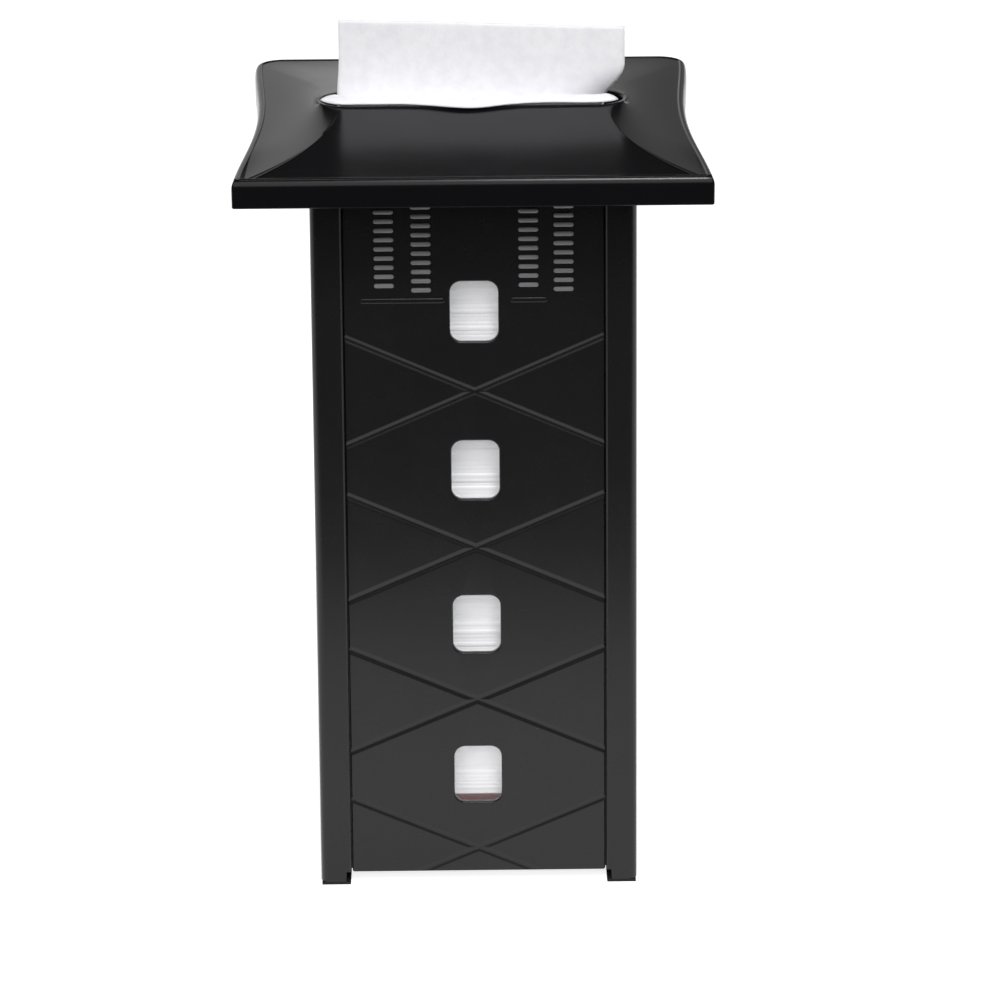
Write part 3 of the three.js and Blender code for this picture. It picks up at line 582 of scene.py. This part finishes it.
def faint_ledges():
    """A low moulded line under each pair of columns."""
    parts = [rounded_bar(half, LEDGE["half"], LEDGE["rise"], (x, LEDGE["height"])) for x, half in LEDGES]
    return mesh_piece("faint_ledges", *merged(parts), "case_plastic", "case", sharp=50, spread=True)


# ---- Napkins ----
PAPER = 0.22  # how thick one layer of tissue is drawn
NAPKIN = {"width": 165, "length": 248}
STANDING = {
    "low": TOP_LO.z + 0.4,
    "high": TOP_HI.z + 1.3,
    "hem": 17,  # how far its two hems are turned up
    "left": -75.2,  # its left edge in the slot
    "right": 74,
    "left_moved": 1.4,  # how far to the right the left edge is above the slot
    "right_moved": 11.3,
    "slant": 4.6,  # how much lower its right end is than its left
    "curl": 9,  # how far back its right end curls inside the slot
    "curl_from": 0.78,  # share of its width where the curl starts
    "lean": 2.5,
    "ripple": 1.1,
    "roll": 1.3,
    "ragged": 0.8,  # how uneven its top edge is
}
WAITING = {
    "bed": STACK_HI.z + 0.35,  # where its flat part lies
    "rear": 74,  # how far back that part goes
    "to_left": 2.2,
    "gap": 1.0,  # from the wall of the chute
    "dip_at": -2,
    "dip_half": 21,
    "dip_forward": 6.5,
    "dip_sag": 0.8,
    "wave": 0.5,
}


def resampled(points, step):
    """A smooth line through the points, cut into steps of about that length."""
    line = []
    for i in range(len(points) - 1):
        before = Vector(points[max(i - 1, 0)])
        a, b = Vector(points[i]), Vector(points[i + 1])
        after = Vector(points[min(i + 2, len(points) - 1)])
        pieces = max(1, round((b - a).length / step))
        for k in range(pieces):
            t = k / pieces
            bend = (2 * before - 5 * a + 4 * b - after) * t**2 + (3 * a - before - 3 * b + after) * t**3
            line.append(a + ((b - before) * t + bend) / 2)
    line.append(Vector(points[-1]))
    return line


def paper_sheet(name, body, columns, path, place):
    """A sheet of tissue from a folded line: place(u, point) gives where it lies at share u of its width."""
    points = []
    for row in path:
        points += [place(i / columns, row) for i in range(columns + 1)]
    faces = ring_faces(len(path), columns + 1, closed_around=False)
    piece = mesh_piece(name, points, faces, "napkin_paper", body, sharp=180)
    thickness = piece.modifiers.new("paper", "SOLIDIFY")
    thickness.thickness = PAPER * MM
    thickness.offset = 0
    return piece


def standing_napkin():
    """The napkin that stands in the slot: folded at its top, its hidden hems turned up in the slot."""
    low, high = STANDING["low"], STANDING["high"]
    hem = low + STANDING["hem"]
    leaf = [(2.3, low + 1), (2.3, hem), (1.9, hem + 0.8), (1.5, hem), (1.5, low + 1), (1.1, low)]
    leaf += [(0.7, low + 1), (0.5, hem), (0.5, high - 12), (0.55, high - 1.2)]
    path = [(-offset, z) for offset, z in leaf] + [(0, high - 0.2)] + leaf[::-1]
    opens_from, opens_over = HEAD_HI.z - 2, 26

    def place(u, row):
        offset, z = row
        up = smooth_step((z - opens_from) / opens_over)
        share = (z - low) / (high - low)
        left = STANDING["left"] + STANDING["left_moved"] * up
        right = STANDING["right"] + STANDING["right_moved"] * up
        slant = STANDING["slant"] * u * smooth_step(share * 1.6)
        curled = max(0.0, (u - STANDING["curl_from"]) / (1 - STANDING["curl_from"]))
        curl = (1 - up) * STANDING["curl"] * curled**2
        lean = STANDING["lean"] * share**2
        ripple = STANDING["ripple"] * noise.noise(Vector((u * 5, share * 1.4, 3.7))) * smooth_step(share * 2)
        roll = STANDING["roll"] * math.sin(u * 5.2 + 0.6) * smooth_step(share * 1.3)
        ragged = STANDING["ragged"] * noise.noise(Vector((u * 4, 9.1, 0))) * share
        x = left + (right - left) * u
        y = STACK_Y + offset + curl + lean + ripple + roll
        return x, y, z - slant + ragged

    piece = paper_sheet("standing_napkin", "top_sheet", 72, resampled(path, 2.2), place)
    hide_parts("top_napkin")
    return piece


def waiting_napkin():
    """The next napkin: its fold leans forward onto the slot's front lip, and the rest lies on the stack."""
    lip_radius = SLOT_ROUND - MOUTH_INSET - WAITING["gap"]
    bed, rear = WAITING["bed"], WAITING["rear"]
    top = HEAD_HI.z
    under = [(-rear, bed), (-28, bed), (-17, bed + 0.3), (-11.6, bed + 3.5), (-10, bed + 9), (-9.8, top - 8)]
    under += [(-9, top - 3), (-6.4, top + 0.6), (-3, top + 1.5), (0, top + 1.2), (2.6, top + 0.8)]
    over = [(3.2, top + 1.3), (2.2, top + 2.1), (-2, top + 3.2), (-7.4, top + 3.0), (-10.9, top - 1)]
    over += [(-11.4, top - 8), (-11.6, bed + 9), (-13.2, bed + 4.4), (-18, bed + 0.7)]
    over += [(-28, bed + 0.3), (-rear, bed + 0.3)]

    def place(u, row):
        out, z = row
        along = (2 * u - 1) * NAPKIN["width"] / 2 - WAITING["to_left"]
        side = math.copysign(1, along)
        past = max(0.0, abs(along) - REACH) / lip_radius
        mouth_x = side * (min(abs(along), REACH) + lip_radius * math.sin(past))
        mouth_y = STACK_Y - lip_radius * math.cos(past)
        risen = smooth_step((z - bed - 1) / (top - bed - 6))
        free = smooth_step((z - top + 12) / 12)
        dip = math.exp(-(((along - WAITING["dip_at"]) / WAITING["dip_half"]) ** 2))
        wave = WAITING["wave"] * noise.noise(Vector((along * 0.045, 0.4, 2.2)))
        forward = out + WAITING["dip_forward"] * dip * free
        sag = WAITING["dip_sag"] * dip * smooth_step((out + 2) / 4)
        x_up = mouth_x + side * math.sin(past) * out
        y_up = mouth_y - math.cos(past) * forward
        x_low = along * 0.985 + 1
        y_low = STACK_Y - lip_radius - out + 4.5
        x = x_low + (x_up - x_low) * risen
        y = y_low + (y_up - y_low) * risen
        return x, y, z + (wave + 0.3 - sag) * free

    piece = paper_sheet("waiting_napkin", "head", 84, resampled(under + over, 1.6), place)
    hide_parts("next_napkin")
    return piece


def napkin_pile():
    """The stack in the case: a rounded fold for every few napkins, each a little out of line."""
    random.seed(7)
    layers = 150
    corner = 2.5
    fold = ((0.04, 0.45), (0.28, 0.35), (0.72, 0.35), (0.96, 0.45))  # share of its height, and inset there
    low, high = STACK_LO.z, STACK_HI.z
    thickness = (high - low) / layers
    half_width, half_depth = (STACK_HI.x - STACK_LO.x) / 2, (STACK_HI.y - STACK_LO.y) / 2
    rings = []
    for layer in range(layers):
        middle = (random.uniform(-0.3, 0.3), STACK_Y + random.uniform(-0.2, 0.2))
        for share, inset in fold:
            z = low + (layer + share) * thickness
            outline = rounded_outline(half_width - inset, half_depth - inset, corner, middle, 3)
            rings.append([(x, y, z) for x, y in outline])
    points = [point for ring in rings for point in ring]
    around = len(rings[0])
    faces = ring_faces(len(rings), around)
    faces.append(tuple(reversed(range(around))))
    faces.append(tuple(range(len(points) - around, len(points))))
    piece = mesh_piece("napkin_pile", points, faces, "napkin_paper", "case", sharp=180)
    # Painted light: the pile's paper is lighter and glows, to lift the shade behind the windows.
    piece.data.materials[0] = PILE_TISSUE_PAINTED_LIGHT
    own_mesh(piece)
    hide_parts("napkin_stack")
    return piece


# ---- Spring tapes ----
def tape_strip(side):
    """A flat spring strip with a slight trough across it, drawn at one length: the real one rolls up as the
    platform rises.
    """
    node = f"{side}_spring_tape"
    low, high = node_box(node)
    across, rows = 8, 40
    trough, thickness = 0.3, 0.16
    back, front = [], []
    for z in spaced(low.z, high.z, rows):
        for share in spaced(-1, 1, across):
            x = (low.x + high.x) / 2 + share * (high.x - low.x) / 2
            y = low.y + 0.32 - trough * share**2
            front.append((x, y, z))
            back.append((x, y + thickness, z))
    faces = ring_faces(rows + 1, across + 1, closed_around=False)
    count = len(front)
    faces += [tuple(i + count for i in reversed(face)) for face in faces]
    rim = list(range(across + 1))
    rim += [row * (across + 1) + across for row in range(1, rows + 1)]
    rim += [rows * (across + 1) + i for i in reversed(range(across))]
    rim += [row * (across + 1) for row in reversed(range(1, rows))]
    for i, here in enumerate(rim):
        after = rim[(i + 1) % len(rim)]
        faces.append((after, here, here + count, after + count))
    piece = mesh_piece(f"{side}_tape_strip", front + back, faces, "spring_steel", "case")
    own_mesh(piece)
    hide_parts(node)
    return piece


# ---- Parts carried over from the CAD model ----
BEVELS = {"left_side_frame": 0.7, "right_side_frame": 0.7, "rear_panel": 0.6, "base_tray": 0.6}
SMALL_BEVEL = 0.25
WELD_GAP = 0.01
FLAT_ANGLE = math.radians(0.4)  # faces that meet at less than this are one face
BEVEL_ANGLE = math.radians(35)  # edges that turn by less than this stay as they are


def dress(name, node):
    """Gives a CAD node its finish, rounded edges and even shading."""
    mesh = node.data
    for attribute in ("custom_normal", "sharp_edge", "sharp_face"):
        if attribute in mesh.attributes:
            mesh.attributes.remove(mesh.attributes[attribute])
    mesh.shade_smooth()
    mesh.materials.clear()
    mesh.materials.append(MATERIALS[SLOT_OF[name]])
    node.modifiers.new("joined", "WELD").merge_threshold = WELD_GAP * MM
    flat = node.modifiers.new("flat_faces", "DECIMATE")
    flat.decimate_type = "DISSOLVE"
    flat.angle_limit = FLAT_ANGLE
    bevel = node.modifiers.new("rounded", "BEVEL")
    bevel.width = BEVELS.get(name, SMALL_BEVEL) * MM
    bevel.segments = 2
    bevel.limit_method = "ANGLE"
    bevel.angle_limit = BEVEL_ANGLE
    node.modifiers.new("even_normals", "WEIGHTED_NORMAL")


# ---- Studio, in metres, degrees and watts; the lens is in millimetres ----
CAMERA = {
    "at": (-0.00585, -2.16492, 0.94738),
    "yaw": 0.538,
    "pitch": 19.123,
    "roll": -0.394,
    "lens": 141.01,
}


OBJECT_MIDDLE = (0, 0, 0.25)
LIGHTS = {
    "key": {"at": (0.27, -1.6, 2.4), "towards": (0, 0, 0.4), "size": (0.4, 0.7), "power": 29},
    "overhead": {"at": (0.3, 0, 2.3), "towards": (0, 0, 0.4), "size": (0.3, 1.5), "power": 8},
    "front": {"at": (-0.3, -2.4, 2.0), "towards": OBJECT_MIDDLE, "size": (3.0, 2.2), "power": 58},
    "left_rear": {"at": (-0.98, 2.2, 0.82), "towards": (0, 0, 0.45), "size": (2.5, 1.1), "power": 4.6},
    "right_rear": {"at": (0.98, 2.2, 0.82), "towards": (0, 0, 0.45), "size": (2.5, 1.1), "power": 1.7},
}
FLOOR = {"front": -0.56, "back": 6.0, "side": 5.0, "glow": 0.8}
SURROUNDINGS_LIGHT = 0.045


def camera():
    """A camera turned by its yaw, then its pitch, then its roll."""
    yaw, pitch, roll = (math.radians(CAMERA[k]) for k in ("yaw", "pitch", "roll"))
    ahead = Vector((math.sin(yaw) * math.cos(pitch), math.cos(yaw) * math.cos(pitch), -math.sin(pitch)))
    level = Vector((math.cos(yaw), -math.sin(yaw), 0))
    upright = level.cross(ahead)
    right = math.cos(roll) * level + math.sin(roll) * upright
    up = -math.sin(roll) * level + math.cos(roll) * upright
    data = bpy.data.cameras.new("camera")
    data.lens = CAMERA["lens"]
    seen = bpy.data.objects.new("camera", data)
    turn = Matrix((right, up, -ahead)).transposed().to_4x4()
    seen.matrix_world = Matrix.Translation(CAMERA["at"]) @ turn
    bpy.context.scene.collection.objects.link(seen)
    bpy.context.scene.camera = seen


def soft_light(name, at, towards, size, power):
    """A rectangular lamp that lights the object and isn't seen itself."""
    data = bpy.data.lights.new(name, "AREA")
    data.shape = "RECTANGLE"
    data.size, data.size_y = size
    data.energy = power
    light = bpy.data.objects.new(name, data)
    light.location = at
    light.visible_camera = False
    light.rotation_mode = "QUATERNION"
    light.rotation_quaternion = (Vector(towards) - Vector(at)).to_track_quat("-Z", "Y")
    bpy.context.scene.collection.objects.link(light)


def floor():
    """A wide pale floor that ends a little way in front of the object."""
    front, back, side = FLOOR["front"], FLOOR["back"], FLOOR["side"]
    mesh = bpy.data.meshes.new("floor")
    corners = [(-side, front, 0), (side, front, 0), (side, back, 0), (-side, back, 0)]
    mesh.from_pydata(corners, [], [(0, 1, 2, 3)])
    material, tree, shader = node_tree("floor_white")
    white = ramp_node(tree, noise_node(tree, 3, 2), (0.9, 0.9, 0.9), (0.93, 0.93, 0.93))
    tree.links.new(white, shader.inputs["Base Color"])
    shader.inputs["Roughness"].default_value = 0.9
    shader.inputs["Specular IOR Level"].default_value = 0.1
    shader.inputs["Emission Color"].default_value = (1, 1, 1, 1)
    shader.inputs["Emission Strength"].default_value = FLOOR["glow"]
    mesh.materials.append(material)
    ground = bpy.data.objects.new("floor", mesh)
    bpy.context.scene.collection.objects.link(ground)


def surroundings():
    """White to look at, and dim as a light."""
    world = bpy.data.worlds.new("studio")
    bpy.context.scene.world = world
    world.use_nodes = True
    tree = world.node_tree
    tree.nodes.clear()
    dim = tree.nodes.new("ShaderNodeBackground")
    dim.inputs["Strength"].default_value = SURROUNDINGS_LIGHT
    white = tree.nodes.new("ShaderNodeBackground")
    white.inputs["Color"].default_value = (1, 1, 1, 1)
    rays = tree.nodes.new("ShaderNodeLightPath")
    mix = tree.nodes.new("ShaderNodeMixShader")
    out = tree.nodes.new("ShaderNodeOutputWorld")
    tree.links.new(rays.outputs["Is Camera Ray"], mix.inputs["Fac"])
    tree.links.new(dim.outputs["Background"], mix.inputs[1])
    tree.links.new(white.outputs["Background"], mix.inputs[2])
    tree.links.new(mix.outputs["Shader"], out.inputs["Surface"])


def studio():
    """Everything round the object, and the way colours are shown."""
    camera()
    floor()
    surroundings()
    for name, light in LIGHTS.items():
        soft_light(name, **light)
    bpy.context.scene.view_settings.view_transform = "Standard"


studio()
head_shell()
front_face_panel()
grip_ribs()
faint_ledges()
napkin_pile()
standing_napkin()
waiting_napkin()
for side_name in ("left", "right"):
    tape_strip(side_name)
for node_name, node_object in NODES.items():
    if not node_object.hide_render:
        dress(node_name, node_object)
